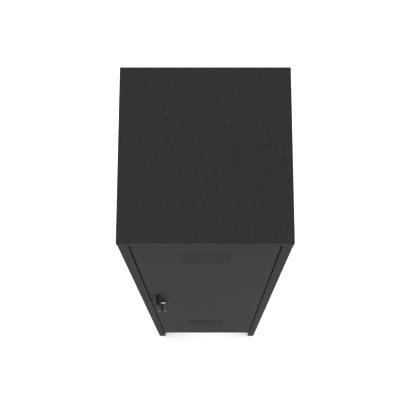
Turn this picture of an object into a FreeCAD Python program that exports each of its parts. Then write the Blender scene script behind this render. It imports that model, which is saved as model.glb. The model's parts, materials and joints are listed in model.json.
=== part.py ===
import FreeCAD, Part
import os
import re
import Sketcher

# Single-door steel locker. Millimetres, Z up, the front faces -Y, the hinge is on +X.
# The origin is the middle of the overall footprint, on the floor.

# Driving sizes. Each one becomes a cell of the sheet with this name as its alias.
SIZES = {
    # cabinet shell
    "cabinet_wide": 380, "cabinet_deep": 400, "cabinet_tall": 1850,
    "sheet_thick": 1, "bend_inner": 1, "lid_band": 23,
    "stile_wide": 23, "rebate_deep": 23, "stop_wide": 12, "rear_flange": 15, "rear_lap": 20,
    "leg_tall": 120, "leg_deep": 45, "arch_round": 14,
    "rail_tall": 25, "rail_lip": 15, "stop_tall": 12, "pan_wall": 20, "ear_play": 0.5,
    "glide_thick": 4, "glide_plug": 20, "glide_play": 0.5,
    # inside fittings
    "shelf_down": 350, "shelf_lip": 20, "shelf_play": 1.5, "shelf_back_play": 3,
    "clip_thick": 1.5, "clip_reach": 13, "clip_drop": 26, "clip_wide": 22, "clip_inset": 50,
    "rail_drop": 70, "tube_radius": 9.5, "tube_wall": 1.2, "tube_play": 0.1,
    "socket_radius": 16, "socket_plate": 3, "socket_collar": 12, "socket_wall": 2.4,
    "fixing_radius": 3.5, "fixing_across": 280, "fixing_low": 300, "fixing_down": 150,
    # door
    "door_gap": 2.8, "door_deep": 18, "door_lip": 14, "door_round": 1.5,
    "vent_wide": 123, "vent_hood": 13, "vent_proud": 2.5, "vent_slope": 4, "vent_pitch": 24, "vent_count": 6,
    "vent_down": 74, "vent_up": 385, "vent_edge": 1.4,
    "stiffener_wide": 30, "stiffener_flange": 14, "stiffener_deep": 13, "stiffener_away": 48,
    # hinge
    "pivot_in": 10, "pivot_back": 5, "pin_radius": 2.5, "pin_play": 0.05, "pin_hole_play": 0.3,
    "bush_play": 0.1, "bush_step": 0.5, "bush_reach": 6, "collar_play": 0.3,
    "bracket_away": 20, "bracket_thick": 2, "bracket_wide": 22, "bracket_drop": 36,
    "head_play": 0.2, "head_thick": 3, "pin_short": 0.5,
    # buffers on the stop flange
    "buffer_radius": 4.5, "buffer_play": 0.4, "buffer_stem": 1.5, "buffer_hole_play": 0.1,
    "buffer_head": 2.6, "buffer_head_thick": 1.5, "buffer_in": 153, "buffer_above": 90,
    "buffer_from_end": 5,
    # handle and lock
    "grip_left": 24.5, "grip_above": 14, "grip_thick": 10, "grip_proud": 30, "grip_tall": 110,
    "foot_rim": 1.5, "foot_low": 6, "foot_round": 4,
    "screw_radius": 2, "screw_play": 0.1, "screw_head": 4, "screw_head_thick": 2.5,
    "screw_depth": 14, "screw_inset": 16,
    "lock_height": 990, "lock_aside": 7.3, "boss_wall": 4, "boss_proud": 3,
    "barrel_radius": 8, "barrel_play": 0.1, "rim_step": 1.2, "rim_thick": 3,
    "plug_radius": 6, "plug_short": 0.5, "turn_play": 0.05, "nut_flats": 22, "nut_thick": 5,
    "stub_side": 8, "stub_play": 0.1, "cam_gap": 0.6, "cam_thick": 2, "cam_wide": 16, "cam_play": 1,
    "washer_radius": 7, "washer_thick": 1.2, "cam_head_radius": 4.5, "cam_head_thick": 3,
    "cam_screw_deep": 9,
    # key
    "key_reach": 36.5, "blade_thick": 2, "blade_tall": 8, "blade_deep": 20, "keyway_play": 0.15,
    "bow_thick": 3, "bow_tall": 22, "bow_long": 26, "bow_round": 5, "bow_grip": 5,
    "ring_hole": 4, "ring_hole_in": 8, "ring_radius": 11, "ring_wire": 0.9, "ring_drop": 2.3,
}

# Places worked out from the sizes, each one written once.
PLACES = {
    "half_wide": "cabinet_wide / 2",
    "front": "(key_reach - cabinet_deep - sheet_thick) / 2",
    "back": "front + cabinet_deep",
    "under_lid": "cabinet_tall - sheet_thick",
    "web_inside": "half_wide - sheet_thick",
    "lap_inside": "web_inside - sheet_thick",
    "return_face": "half_wide - stile_wide",
    "return_back": "return_face + sheet_thick",
    "stop_end": "return_back - stop_wide",
    "stop_front": "front + rebate_deep",
    "stop_back": "stop_front + sheet_thick",
    "rail_top": "leg_tall + rail_tall",
    "rail_under": "rail_top - sheet_thick",
    "header_low": "cabinet_tall - lid_band - sheet_thick",
    "header_sheet": "header_low + sheet_thick",
    "panel_front": "back - 2 * sheet_thick",
    "door_half": "return_face - door_gap",
    "door_low": "rail_top + door_gap",
    "door_high": "header_low - door_gap",
    "door_inside": "front + sheet_thick",
    "pivot_x": "door_half - pivot_in",
    "pivot_y": "front + pivot_back",
    "buffer_x": "0 - stop_end - buffer_from_end",
    "bush_radius": "pivot_back - sheet_thick - bush_play",
    "bush_collar": "bush_radius + bush_step",
    "head_radius": "pivot_back - sheet_thick - head_play",
    "vent_top_high": "door_high - vent_down",
    "vent_top_low": "door_low + vent_up",
    "stiffener_low": "vent_top_low + stiffener_away",
    "stiffener_high": "vent_top_high - (vent_count - 1) * vent_pitch - vent_hood - stiffener_away",
    "vent_side": "vent_wide / 2 - 1.5 * sheet_thick",
    "edge_round": "0.7 * sheet_thick",
    "cross_round": "0.9 * door_round",
    "tip_round": "0.4 * grip_thick",
    "grip_x": "grip_left - door_half",
    "grip_low": "lock_height + grip_above",
    "grip_high": "grip_low + grip_tall",
    "foot_half": "grip_thick / 2 + foot_rim",
    "rim_radius": "barrel_radius + rim_step",
    "boss_radius": "barrel_radius + boss_wall",
    "lock_x": "grip_x + lock_aside",
    "cam_reach": "return_back - cam_play + lock_x - cam_wide / 2",
    "shelf_height": "cabinet_tall - shelf_down",
    "rail_height": "shelf_height - rail_drop",
    "fixing_up": "cabinet_tall - fixing_down - fixing_low",
    "rim_front": "front - boss_proud - rim_thick",
    "cam_front": "stop_back + cam_gap",
    "cam_back": "cam_front + cam_thick",
    "bow_front": "front - key_reach",
    "ring_y": "bow_front + ring_hole_in",
    "clip_top": "shelf_height - shelf_lip",
}

doc = FreeCAD.newDocument("locker")
sheet = doc.addObject("Spreadsheet::Sheet", "sizes")
for row, (alias, value) in enumerate(SIZES.items(), start=1):
    sheet.set(f"A{row}", alias)
    sheet.set(f"B{row}", str(value))
    sheet.setAlias(f"B{row}", alias)
doc.recompute()

nodes = []


def expand(text):
    """Writes a formula in named sizes and places as an expression on the sheet's cells."""
    def swap(match):
        word = match.group()
        if word in PLACES:
            return "(" + expand(PLACES[word]) + ")"
        return "sizes." + word if word in SIZES else word
    return re.sub(r"[a-z_]+", swap, str(text))


def bind(thing, setting, text):
    thing.setExpression(setting, expand(text))


def number(text):
    return float(sheet.evalExpression(expand(text)))


def node(thing, name):
    """Marks a finished sub-part: its label names its file."""
    thing.Label = name
    nodes.append(thing)
    return thing


def block(name, x, y, z):
    """A box between two places on each axis. A cutter reaches 1 mm past each face that it opens."""
    box = doc.addObject("Part::Box", name)
    for side, axis, (low, high) in (("Length", "x", x), ("Width", "y", y), ("Height", "z", z)):
        bind(box, side, f"({high}) - ({low})")
        bind(box, "Placement.Base." + axis, low)
    return box


TURNS = {
    "x": FreeCAD.Rotation(FreeCAD.Vector(0, 1, 0), 90),
    "y": FreeCAD.Rotation(FreeCAD.Vector(1, 0, 0), -90),
    "z": FreeCAD.Rotation(),
}


def rod(name, axis, radius, place, low, high):
    """A cylinder along an axis: place gives its other two coordinates in X, Y, Z order."""
    cylinder = doc.addObject("Part::Cylinder", name)
    cylinder.Placement.Rotation = TURNS[axis]
    bind(cylinder, "Radius", radius)
    bind(cylinder, "Height", f"({high}) - ({low})")
    bind(cylinder, "Placement.Base." + axis, low)
    for other, value in zip([a for a in "xyz" if a != axis], place):
        bind(cylinder, "Placement.Base." + other, value)
    return cylinder


def cut(name, base, *tools):
    result = doc.addObject("Part::Cut", name)
    result.Base = base
    result.Tool = tools[0] if len(tools) == 1 else join(name + "_tools", *tools)
    return result


def join(name, *pieces):
    result = doc.addObject("Part::MultiFuse", name)
    result.Shapes = list(pieces)
    return result


def group(name, *pieces):
    """Several separate solids that share one node."""
    result = doc.addObject("Part::Compound", name)
    result.Links = list(pieces)
    return result


def newBody(name):
    return doc.addObject("PartDesign::Body", name)


def outline(body, name, role, corners, offset="0"):
    """A closed sketch through the corners, every one of them bound to the sheet."""
    sketch = body.newObject("Sketcher::SketchObject", name)
    plane = [f for f in body.Origin.OriginFeatures if f.Role == role][0]
    sketch.AttachmentSupport = [(plane, "")]
    sketch.MapMode = "FlatFace"
    bind(sketch, "AttachmentOffset.Base.z", offset)
    points = [FreeCAD.Vector(number(u), number(v), 0) for u, v in corners]
    count = len(points)
    for i in range(count):
        sketch.addGeometry(Part.LineSegment(points[i], points[(i + 1) % count]), False)
    for i in range(count):
        sketch.addConstraint(Sketcher.Constraint("Coincident", i, 2, (i + 1) % count, 1))
    for i, (corner, point) in enumerate(zip(corners, points)):
        for kind, word, text, value in (("DistanceX", "across", corner[0], point.x),
                                        ("DistanceY", "along", corner[1], point.y)):
            index = sketch.addConstraint(Sketcher.Constraint(kind, -1, 1, i, 1, value))
            sketch.renameConstraint(index, f"{word}{i}")
            bind(sketch, f"Constraints.{word}{i}", text)
    return sketch


def rectangle(u, v):
    return [(u[0], v[0]), (u[1], v[0]), (u[1], v[1]), (u[0], v[1])]


def pad(body, sketch, length, backwards=False):
    feature = body.newObject("PartDesign::Pad", sketch.Name + "_pad")
    feature.Profile = sketch
    feature.Reversed = backwards
    bind(feature, "Length", length)
    return feature


def pocket(body, sketch, length, backwards=False):
    feature = body.newObject("PartDesign::Pocket", sketch.Name + "_pocket")
    feature.Profile = sketch
    feature.Reversed = backwards
    bind(feature, "Length", length)
    return feature


def rounded(body, name, axis, places, radius):
    """Fillets the straight edges along an axis that stand at the given places."""
    doc.recompute()
    base = body.Tip
    others = [a for a in "xyz" if a != axis]
    wanted = [(number(u), number(v)) for u, v in places]
    names = []
    for index, edge in enumerate(base.Shape.Edges, start=1):
        first, last = edge.Vertexes[0].Point, edge.Vertexes[-1].Point
        here = [getattr(first, a) for a in others]
        there = [getattr(last, a) for a in others]
        along = abs(getattr(first, axis) - getattr(last, axis))
        for place in wanted:
            apart = max(abs(h - p) for h, p in zip(here + there, place + place))
            if apart < 0.01 and along > 0.01:
                names.append(f"Edge{index}")
    fillet = body.newObject("PartDesign::Fillet", name)
    fillet.Base = (base, names)
    bind(fillet, "Radius", radius)
    body.Tip = fillet
    return fillet


def mirrored(sign, corners):
    """Puts a plan outline of the right side on the left when sign is '-'."""
    return [(f"{sign}({x})", y) for x, y in corners]


# ---------------------------------------------------------------- cabinet

def stopEndsCleared(body, name, sign):
    """Cuts the stop flange away where the header and the bottom rail pass."""
    side = sorted((f"{sign}(stop_end - 1)", f"{sign}(return_back + 0.5)"), key=number)
    for word, low, high in (("low", "0", "rail_top"), ("high", "header_low", "cabinet_tall")):
        clear = outline(body, f"{name}_stop_{word}", "XZ_Plane", rectangle(side, (low, high)),
                        "-(stop_front - bend_inner - sheet_thick)")
        pocket(body, clear, "bend_inner + 3 * sheet_thick")


def frontPost(name, sign):
    """One folded strip: stop flange, return, stile face, and a lap inside the side sheet."""
    body = newBody(name)
    plan = [
        ("stop_end", "stop_front"), ("return_face", "stop_front"), ("return_face", "front"),
        ("half_wide", "front"), ("half_wide", "door_inside"), ("web_inside", "door_inside"),
        ("web_inside", "stop_front"), ("lap_inside", "stop_front"), ("lap_inside", "door_inside"),
        ("return_back", "door_inside"), ("return_back", "stop_back"), ("stop_end", "stop_back"),
    ]
    sketch = outline(body, name + "_plan", "XY_Plane", mirrored(sign, plan), "glide_thick")
    pad(body, sketch, "under_lid - glide_thick")
    inner = [plan[1], plan[8], plan[9]]
    outside = [plan[2], plan[10]]
    rounded(body, name + "_inner_bends", "z", mirrored(sign, inner), "bend_inner")
    rounded(body, name + "_outer_bends", "z", mirrored(sign, outside), "bend_inner + sheet_thick")
    rounded(body, name + "_corner", "z", mirrored(sign, [plan[3]]), "edge_round")
    stopEndsCleared(body, name, sign)
    return body


def frontPosts():
    """The lock side's post also carries the buffers in its stop flange."""
    node(frontPost("right_post_body", ""), "right_front_post")
    holes = [rod(f"buffer_hole_{i}", "y", "buffer_stem + buffer_hole_play", ("buffer_x", z),
                 "stop_front - 1", "stop_back + 1") for i, z in enumerate(bufferPlaces())]
    node(cut("left_post", frontPost("left_post_body", "-"), *holes), "left_front_post")


def rearPosts():
    """A folded angle at each back corner, lapped inside the side sheet."""
    for side, sign in (("right", ""), ("left", "-")):
        body = newBody(side + "_rear_body")
        plan = [
            ("half_wide", "back"), ("half_wide - rear_flange", "back"),
            ("half_wide - rear_flange", "back - sheet_thick"), ("lap_inside", "back - sheet_thick"),
            ("lap_inside", "back - rear_lap"), ("web_inside", "back - rear_lap"),
            ("web_inside", "back - sheet_thick"), ("half_wide", "back - sheet_thick"),
        ]
        sketch = outline(body, side + "_rear_plan", "XY_Plane", mirrored(sign, plan), "glide_thick")
        pad(body, sketch, "under_lid - glide_thick")
        rounded(body, side + "_rear_corner", "z", mirrored(sign, [plan[0]]), "edge_round")
        node(body, side + "_rear_post")


def sidePanels():
    """A flat sheet between the posts' outer faces, cut out below so that it stands on two legs."""
    low, high = "glide_thick", "under_lid"
    y = ("door_inside", "back - sheet_thick")
    arch = ("front + leg_deep", "back - leg_deep")
    for side, sign in (("right", ""), ("left", "-")):
        body = newBody(side + "_side_body")
        corners = [
            (y[0], low), (y[0], high), (y[1], high), (y[1], low),
            (arch[1], low), (arch[1], "leg_tall"), (arch[0], "leg_tall"), (arch[0], low),
        ]
        near = sorted((f"{sign}web_inside", f"{sign}half_wide"), key=number)[0]
        sketch = outline(body, side + "_side_outline", "YZ_Plane", corners, near)
        pad(body, sketch, "sheet_thick")
        rounded(body, side + "_arch_corners", "x", [(a, "leg_tall") for a in arch], "arch_round")
        node(body, side + "_side_panel")


def bufferPlaces():
    """Near the door's foot, above the lock's cam and near the door's head."""
    return ["door_low + buffer_in", "lock_height + buffer_above", "door_high - buffer_in"]


def topLid():
    """A shallow tray turned over, folded down over the four sides."""
    body = newBody("top_lid_body")
    x = ("0 - half_wide - sheet_thick", "half_wide + sheet_thick")
    y = ("front - sheet_thick", "back + sheet_thick")
    low = "cabinet_tall - lid_band"
    pad(body, outline(body, "lid_outer", "XY_Plane", rectangle(x, y), low), "lid_band")
    rounded(body, "lid_corners", "z", [(a, b) for a in x for b in y], "door_round")
    rounded(body, "lid_edges_front_back", "x", [(b, "cabinet_tall") for b in y], "cross_round")
    inner = outline(body, "lid_inner", "XY_Plane",
                    rectangle(("0 - half_wide", "half_wide"), ("front", "back")), low)
    pocket(body, inner, "lid_band - sheet_thick", backwards=True)
    node(body, "top_lid")


def backPanel():
    """A flat sheet inside the rear flanges, with four wall fixing holes."""
    sheetBox = block("back_sheet", ("0 - lap_inside", "lap_inside"),
                     ("panel_front", "back - sheet_thick"), ("leg_tall", "under_lid"))
    holes = [rod(f"fixing_{i}_{j}", "y", "fixing_radius",
                 (f"({i} - 0.5) * fixing_across", f"fixing_low + {j} * fixing_up"),
                 "panel_front - 1", "back + 1") for i in range(2) for j in range(2)]
    node(cut("back_cut", sheetBox, *holes), "back_panel")


def pivotHole(name, low, high, play):
    return rod(name, "z", play, ("pivot_x", "pivot_y"), low, high)


def headerRail():
    """Cross rail behind the lid's band. Its lip stops the door's top edge."""
    body = newBody("header_body")
    section = [
        ("front", "header_low"), ("front", "under_lid"), ("front + rail_lip", "under_lid"),
        ("front + rail_lip", "under_lid - sheet_thick"), ("door_inside", "under_lid - sheet_thick"),
        ("door_inside", "header_sheet"), ("stop_back", "header_sheet"),
        ("stop_back", "header_low - stop_tall"), ("stop_front", "header_low - stop_tall"),
        ("stop_front", "header_low"),
    ]
    sketch = outline(body, "header_section", "YZ_Plane", section, "0 - return_face")
    pad(body, sketch, "2 * return_face")
    ends = [block(f"header_end_{i}", x, ("stop_front - 1", "stop_back + 1"),
                  ("header_low - stop_tall - 1", "header_low"))
            for i, x in enumerate((("0 - return_back", "0 - stop_end"), ("stop_end", "return_back")))]
    hole = pivotHole("header_hole", "header_low - 1", "header_sheet + 1", "bush_radius + pin_play")
    node(cut("header_cut", body, hole, *ends), "header_rail")


def bottomRail():
    """Front rail under the door, with an upturned lip behind the door's lower edge."""
    body = newBody("bottom_rail_body")
    section = [
        ("front + rail_lip", "leg_tall"), ("front", "leg_tall"), ("front", "rail_top"),
        ("stop_front", "rail_top"), ("stop_front", "rail_top + stop_tall"),
        ("stop_back", "rail_top + stop_tall"), ("stop_back", "rail_under"),
        ("door_inside", "rail_under"), ("door_inside", "leg_tall + sheet_thick"),
        ("front + rail_lip", "leg_tall + sheet_thick"),
    ]
    sketch = outline(body, "bottom_rail_section", "YZ_Plane", section, "0 - return_face")
    pad(body, sketch, "2 * return_face")
    rounded(body, "bottom_rail_edge", "x", [("front", "leg_tall"), ("front", "rail_top")],
            "cross_round")
    ends = [block(f"rail_end_{i}", x, ("stop_front - 1", "stop_back + 1"),
                  ("rail_top", "rail_top + stop_tall + 1"))
            for i, x in enumerate((("0 - return_back", "0 - stop_end"), ("stop_end", "return_back")))]
    hole = pivotHole("rail_hole", "rail_under - 1", "rail_top + 1", "bush_radius + pin_play")
    node(cut("rail_cut", body, hole, *ends), "bottom_rail")


def bottomPan():
    """The locker's floor: an open tray, with two ears that close the front posts' hollows."""
    outer = block("pan_outer", ("0 - lap_inside", "lap_inside"), ("stop_back", "panel_front"),
                  ("rail_under - sheet_thick", "rail_top + pan_wall"))
    inner = block("pan_inner", ("sheet_thick - lap_inside", "lap_inside - sheet_thick"),
                  ("stop_back + sheet_thick", "panel_front - sheet_thick"),
                  ("rail_under", "rail_top + pan_wall + 1"))
    front = block("pan_front", ("0 - web_inside - 1", "web_inside + 1"),
                  ("stop_back - 1", "stop_back + sheet_thick"),
                  ("rail_top + stop_tall", "rail_top + pan_wall + 1"))
    ears = [block(f"pan_ear_{i}",
                  sorted((f"{sign}(return_back + ear_play)", f"{sign}lap_inside"), key=number),
                  ("door_inside + ear_play", "stop_back"), ("rail_under - sheet_thick", "rail_under"))
            for i, sign in enumerate(("", "-"))]
    node(join("pan_solid", cut("pan_cut", outer, inner, front), *ears), "bottom_pan")


def hatShelf():
    """A tray turned over, resting on four clips."""
    x = ("shelf_play - web_inside", "web_inside - shelf_play")
    y = ("stop_back + shelf_back_play", "panel_front - shelf_back_play")
    outer = block("shelf_outer", x, y, ("clip_top", "shelf_height"))
    inner = block("shelf_inner", (f"{x[0]} + sheet_thick", f"{x[1]} - sheet_thick"),
                  (f"{y[0]} + sheet_thick", f"{y[1]} - sheet_thick"),
                  ("clip_top - 1", "shelf_height - sheet_thick"))
    node(cut("shelf_cut", outer, inner), "hat_shelf")


def shelfClips():
    """Four angle brackets spot welded to the sides under the shelf."""
    clips = []
    for i, sign in enumerate(("", "-")):
        for j, y in enumerate(("stop_back + clip_inset", "panel_front - clip_inset")):
            wide = (f"{y} - clip_wide / 2", f"{y} + clip_wide / 2")
            upright = sorted((f"{sign}(web_inside - clip_thick)", f"{sign}web_inside"), key=number)
            ledge = sorted((f"{sign}(web_inside - clip_reach)", f"{sign}web_inside"), key=number)
            clips.append(join(
                f"clip_{i}{j}",
                block(f"clip_upright_{i}{j}", upright, wide, ("clip_top - clip_drop", "clip_top")),
                block(f"clip_ledge_{i}{j}", ledge, wide, ("clip_top - clip_thick", "clip_top"))))
    node(group("clips", *clips), "shelf_clips")


MIDDLE_Y = "(front + back) / 2"


def hangingRail():
    """Coat rail tube from side to side."""
    ends = ("socket_plate - web_inside", "web_inside - socket_plate")
    place = (MIDDLE_Y, "rail_height")
    tube = rod("tube_outer", "x", "tube_radius", place, *ends)
    bore = rod("tube_bore", "x", "tube_radius - tube_wall", place, f"{ends[0]} - 1", f"{ends[1]} + 1")
    node(cut("tube_cut", tube, bore), "hanging_rail")


def railSockets():
    """A plate with a raised collar on each side holds the coat rail's end."""
    sockets = []
    place = (MIDDLE_Y, "rail_height")
    for i, sign in enumerate(("", "-")):
        plate = sorted((f"{sign}(web_inside - socket_plate)", f"{sign}web_inside"), key=number)
        collar = sorted((f"{sign}(web_inside - socket_collar)", f"{sign}web_inside"), key=number)
        hollow = sorted((f"{sign}(web_inside - socket_collar - 1)",
                         f"{sign}(web_inside - socket_plate)"), key=number)
        radius = "tube_radius + tube_play"
        solid = join(f"socket_solid_{i}",
                     rod(f"socket_plate_{i}", "x", "socket_radius", place, *plate),
                     rod(f"socket_collar_{i}", "x", radius + " + socket_wall", place, *collar))
        sockets.append(cut(f"socket_{i}", solid,
                           rod(f"socket_hollow_{i}", "x", radius, place, *hollow)))
    node(group("sockets", *sockets), "rail_sockets")


def legGlides():
    """A plastic foot under each leg, with a plug inside the folded post."""
    glides = []
    for i, sign in enumerate(("", "-")):
        for j, (y, inner) in enumerate(((("front", "front + leg_deep"), "return_face"),
                                        (("back - leg_deep", "back"), "half_wide - rear_flange"))):
            foot = sorted((f"{sign}({inner})", f"{sign}half_wide"), key=number)
            gap = "(sheet_thick + bend_inner + glide_play)"
            plug = sorted((f"{sign}({inner} + {gap})", f"{sign}(half_wide - {gap})"), key=number)
            glides.append(join(
                f"glide_{i}{j}",
                block(f"glide_foot_{i}{j}", foot, y, ("0", "glide_thick")),
                block(f"glide_plug_{i}{j}", plug, (f"{y[0]} + {gap}", f"{y[1]} - {gap}"),
                      ("0", "glide_thick + glide_plug"))))
    node(group("glides", *glides), "leg_glides")


def bush(name, collarLow, collarHigh, low, high):
    place = ("pivot_x", "pivot_y")
    solid = join(name + "_solid",
                 rod(name + "_body", "z", "bush_radius", place, low, high),
                 rod(name + "_collar", "z", "bush_collar", place, collarLow, collarHigh))
    bore = rod(name + "_bore", "z", "pin_radius + pin_play", place,
               f"{low} - 2 * door_gap", f"{high} + 2 * door_gap")
    return cut(name, solid, bore)


def hingeBushes():
    """Nylon bushes in the header and the bottom rail. The lower one carries the door."""
    node(bush("upper_bush", "door_high + collar_play", "header_low",
              "header_low", "header_low + bush_reach"), "upper_hinge_bush")
    node(bush("lower_bush", "rail_top", "door_low - collar_play",
              "rail_top - bush_reach", "rail_top"), "lower_hinge_bush")


def doorBuffers():
    """Rubber buffers on the lock side's stop flange, each held by its stem."""
    buffers = []
    for i, z in enumerate(bufferPlaces()):
        place = ("buffer_x", z)
        buffers.append(join(
            f"buffer_{i}",
            rod(f"buffer_pad_{i}", "y", "buffer_radius", place,
                "front + door_deep + buffer_play", "stop_front"),
            rod(f"buffer_stem_{i}", "y", "buffer_stem", place, "stop_front", "stop_back + 1"),
            rod(f"buffer_head_{i}", "y", "buffer_head", place,
                "stop_back", "stop_back + buffer_head_thick")))
    node(group("buffers", *buffers), "door_buffers")


# ---------------------------------------------------------------- door

def doorPan():
    """The door's folded pan: a skin, four walls and four lips at the back."""
    body = newBody("door_pan_body")
    x = ("0 - door_half", "door_half")
    z = ("door_low", "door_high")
    skin = outline(body, "door_face", "XZ_Plane", rectangle(x, z), "0 - front")
    pad(body, skin, "door_deep", backwards=True)
    rounded(body, "door_edges_up", "z", [(a, "front") for a in x], "door_round")
    rounded(body, "door_edges_across", "x", [("front", b) for b in z], "cross_round")
    hollow = outline(body, "door_hollow", "XZ_Plane",
                     rectangle(("sheet_thick - door_half", "door_half - sheet_thick"),
                               ("door_low + sheet_thick", "door_high - sheet_thick")),
                     "0 - door_inside")
    pocket(body, hollow, "door_deep - 2 * sheet_thick")
    opening = outline(body, "door_back_opening", "XZ_Plane",
                      rectangle(("door_lip - door_half", "door_half - door_lip"),
                                ("door_low + door_lip", "door_high - door_lip")),
                      "0 - (front + door_deep / 2)")
    pocket(body, opening, "door_deep")
    return body


def louvre(name, top):
    """A pressed hood, open below, and the hollow behind it that breaks through the skin."""
    low = f"({top} - vent_hood)"
    hood = doc.addObject("Part::Wedge", name + "_hood")
    for word, text in (("Ymin", "front - vent_proud"), ("Ymax", "front + sheet_thick / 2"),
                       ("Zmin", low), ("Zmax", f"{low} + vent_edge + sheet_thick"),
                       ("Z2min", low), ("Z2max", top),
                       ("Xmin", "vent_slope - vent_wide / 2"), ("Xmax", "vent_wide / 2 - vent_slope"),
                       ("X2min", "0 - vent_wide / 2"), ("X2max", "vent_wide / 2")):
        bind(hood, word, text)
    hollow = doc.addObject("Part::Wedge", name + "_hollow")
    for word, text in (("Ymin", "front - vent_proud + sheet_thick"), ("Ymax", "door_inside + 1"),
                       ("Zmin", f"{low} - sheet_thick"), ("Zmax", f"{low} + vent_edge"),
                       ("Z2min", f"{low} - sheet_thick"), ("Z2max", f"{top} - 2 * sheet_thick"),
                       ("Xmin", "vent_slope - vent_side"), ("Xmax", "vent_side - vent_slope"),
                       ("X2min", "0 - vent_side"), ("X2max", "vent_side")):
        bind(hollow, word, text)
    return hood, hollow


def doorPanel():
    """The pan with two louvre groups, the lock hole, two screw holes and the hinge pin holes."""
    hoods, hollows = [], []
    for word, top in (("high", "vent_top_high"), ("low", "vent_top_low")):
        for i in range(int(number("vent_count"))):
            hood, hollow = louvre(f"vent_{word}_{i}", f"({top} - {i} * vent_pitch)")
            hoods.append(hood)
            hollows.append(hollow)
    solid = join("door_solid", doorPan(), *hoods)
    lockHole = rod("door_lock_hole", "y", "barrel_radius + barrel_play", ("lock_x", "lock_height"),
                   "front - 1", "door_inside + 1")
    screwHoles = [rod(f"door_screw_hole_{i}", "y", "screw_radius + screw_play", ("grip_x", z),
                      "front - 1", "door_inside + 1") for i, z in enumerate(screwPlaces())]
    pinHoles = [pivotHole("door_hole_high", "door_high - 2 * sheet_thick", "door_high + 1",
                          "pin_radius + pin_hole_play"),
                pivotHole("door_hole_low", "door_low - 1", "door_low + 2 * sheet_thick",
                          "pin_radius + pin_hole_play")]
    node(cut("door_cut", solid, *hollows, lockHole, *screwHoles, *pinHoles), "door_panel")


def doorStiffener():
    """A hat section spot welded inside the skin between the louvre groups."""
    body = newBody("stiffener_body")
    foot = "stiffener_wide + stiffener_flange"
    crown = "door_inside + stiffener_deep"
    half = [
        (foot, "door_inside"), (foot, "door_inside + sheet_thick"),
        ("stiffener_wide", "door_inside + sheet_thick"), ("stiffener_wide", crown),
    ]
    inner = [("stiffener_wide - sheet_thick", f"{crown} - sheet_thick"),
             ("stiffener_wide - sheet_thick", "door_inside")]
    right = half + mirrored("-", half[::-1])
    left = mirrored("-", inner[::-1]) + inner
    sketch = outline(body, "stiffener_plan", "XY_Plane", right + left, "stiffener_low")
    pad(body, sketch, "stiffener_high - stiffener_low")
    node(body, "door_stiffener")


def pinBracket(name, plateLow, plateHigh, legLow, legHigh):
    """An angle welded in the door's corner that holds the hinge pin."""
    edge = "(door_half - sheet_thick)"
    y = ("door_inside", "door_inside + door_deep - 4 * sheet_thick")
    x = (f"{edge} - bracket_wide", edge)
    plate = block(name + "_plate", x, y, (plateLow, plateHigh))
    leg = block(name + "_leg", (f"{edge} - bracket_thick", edge), y, (legLow, legHigh))
    hole = pivotHole(name + "_hole", f"{plateLow} - 1", f"{plateHigh} + 1", "pin_radius + pin_play")
    return cut(name, join(name + "_angle", plate, leg), hole)


def hingePin(name, headLow, headHigh, low, high):
    place = ("pivot_x", "pivot_y")
    return join(name, rod(name + "_shank", "z", "pin_radius", place, low, high),
                rod(name + "_head", "z", "head_radius", place, headLow, headHigh))


def doorHinge():
    """Pins at the door's top and bottom corners on one vertical axis."""
    top = "(door_high - bracket_away)"
    bottom = "(door_low + bracket_away)"
    node(pinBracket("upper_bracket", f"{top} - bracket_thick", top,
                    f"{top} - bracket_drop", top), "upper_pin_bracket")
    node(pinBracket("lower_bracket", bottom, f"{bottom} + bracket_thick",
                    bottom, f"{bottom} + bracket_drop"), "lower_pin_bracket")
    node(hingePin("upper_pin", f"{top} - bracket_thick - head_thick", f"{top} - bracket_thick",
                  f"{top} - bracket_thick - head_thick", "header_low + bush_reach - pin_short"),
         "upper_hinge_pin")
    node(hingePin("lower_pin", f"{bottom} + bracket_thick", f"{bottom} + bracket_thick + head_thick",
                  "rail_top - bush_reach + pin_short", f"{bottom} + bracket_thick + head_thick"),
         "lower_hinge_pin")


def screwPlaces():
    return ["grip_low + screw_inset", "grip_high - screw_inset"]


def pullHandle():
    """One moulding: an upright finger grip on a thin foot, and a round boss below it for the lock."""
    body = newBody("handle_body")
    x = ("grip_x - foot_half", "grip_x + foot_half")
    z = ("lock_height + foot_low", "grip_high + foot_rim")
    foot = outline(body, "handle_outline", "XZ_Plane", rectangle(x, z), "0 - front")
    pad(body, foot, "boss_proud")
    rounded(body, "foot_corners", "y", [(a, b) for a in x for b in z], "foot_round")
    gripX = ("grip_x - grip_thick / 2", "grip_x + grip_thick / 2")
    grip = outline(body, "grip_outline", "XZ_Plane", rectangle(gripX, ("grip_low", "grip_high")),
                   "0 - front + boss_proud / 2")
    pad(body, grip, "grip_proud - boss_proud / 2")
    tip = "front - grip_proud"
    rounded(body, "grip_tip_up", "z", [(a, tip) for a in gripX], "tip_round")
    boss = lockRod("lock_boss", "boss_radius", "front - boss_proud", "front")
    bore = lockRod("boss_bore", "barrel_radius + barrel_play", "front - boss_proud - 1", "front + 1")
    pilots = [rod(f"handle_pilot_{i}", "y", "screw_radius + screw_play", ("grip_x", z),
                  "front - screw_depth - 1", "front + 1") for i, z in enumerate(screwPlaces())]
    node(cut("handle_cut", join("handle_solid", body, boss), bore, *pilots), "pull_handle")


def handleScrews():
    """Two screws from inside the door, into the grip."""
    screws = [join(f"handle_screw_{i}",
                   rod(f"handle_shank_{i}", "y", "screw_radius", ("grip_x", z),
                       "front - screw_depth", "door_inside + 1"),
                   rod(f"handle_head_{i}", "y", "screw_head", ("grip_x", z),
                       "door_inside", "door_inside + screw_head_thick"))
              for i, z in enumerate(screwPlaces())]
    node(group("handle_screw_pair", *screws), "handle_screws")


def lockRod(name, radius, low, high):
    return rod(name, "y", radius, ("lock_x", "lock_height"), low, high)


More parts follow.
